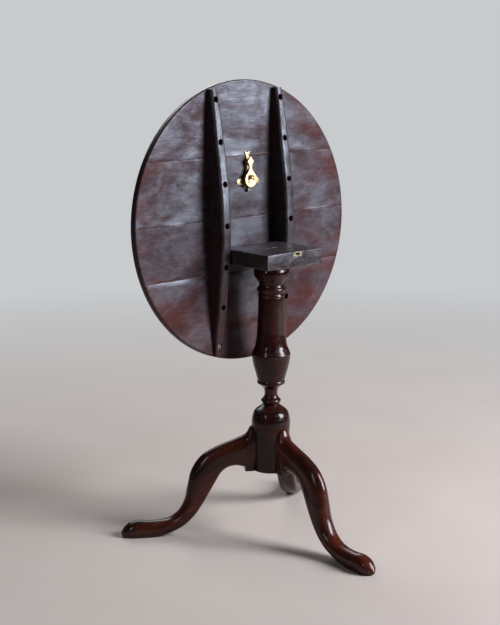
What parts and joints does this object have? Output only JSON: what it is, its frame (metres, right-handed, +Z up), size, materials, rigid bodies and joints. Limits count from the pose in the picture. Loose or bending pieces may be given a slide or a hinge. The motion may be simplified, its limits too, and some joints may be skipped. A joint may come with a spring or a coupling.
{
  "type": "tilt top table",
  "caption": "Round tilt-top pedestal table: jointed board top on two battens hinged on a square block, turned column, cabriole tripod legs and a sprung brass catch.",
  "frame": {"origin": "on the floor, under the middle of the tipped-up table's overall box", "axes": "+Z up; +Y away from the underside of the tipped top, along its thickness; +X along the hinge axis, to the right when looking at the underside"},
  "size_m": [0.648, 0.564, 1.0571],
  "materials": {
    "polished_mahogany": "french polished, glossy, dark red-brown",
    "board_wood": "dry matte old underside, waxed rim and top face",
    "batten_wood": "dark stained, low sheen",
    "block_wood": "worn, satin",
    "pin_wood": "matte end grain",
    "brass": "old polished cast brass",
    "iron": "dark aged iron"
  },
  "bodies": {
    "stand": {"bracket_nail_1": "iron", "bracket_nail_2": "iron", "bracket_nail_3": "iron", "bracket_nail_4": "iron", "bracket_nail_5": "iron", "bracket_nail_6": "iron", "bracket_nail_7": "iron", "column": "polished_mahogany", "hinge_block": "block_wood", "keeper_plate": "brass", "keeper_screw_left": "brass", "keeper_screw_right": "brass", "leg_bracket": "iron", "leg_front": "polished_mahogany", "leg_left": "polished_mahogany", "leg_right": "polished_mahogany", "pivot_pin_left": "pin_wood", "pivot_pin_right": "pin_wood", "tenon_wedge": "pin_wood"},
    "top": {"batten_left": "batten_wood", "batten_right": "batten_wood", "batten_screw_left_1": "iron", "batten_screw_left_2": "iron", "batten_screw_left_3": "iron", "batten_screw_left_4": "iron", "batten_screw_left_5": "iron", "batten_screw_left_6": "iron", "batten_screw_left_7": "iron", "batten_screw_right_1": "iron", "batten_screw_right_2": "iron", "batten_screw_right_3": "iron", "batten_screw_right_4": "iron", "batten_screw_right_5": "iron", "batten_screw_right_6": "iron", "batten_screw_right_7": "iron", "catch_case": "brass", "catch_plate": "brass", "catch_screw_left": "brass", "catch_screw_right": "brass", "catch_screw_top": "brass", "catch_spring": "iron", "top_board_1": "board_wood", "top_board_2": "board_wood", "top_board_3": "board_wood", "top_board_4": "board_wood"},
    "catch": {"catch_bolt": "iron", "catch_lever": "brass", "catch_stud": "brass"}
  },
  "joints": [
    {"name": "top_tilt", "type": "hinge", "parent": "stand", "child": "top", "pos_m": [0, 0.13929, 0.663], "axis": [1, 0, 0], "range_deg": [0, 91.83]},
    {"name": "catch_slide", "type": "slide", "parent": "top", "child": "catch", "axis": [0, 0.0319, 0.9995], "range_m": [0, 0.007], "stiffness_N_per_m": 150, "springref_m": -0.008, "deforming": ["catch_spring"]}
  ]
}
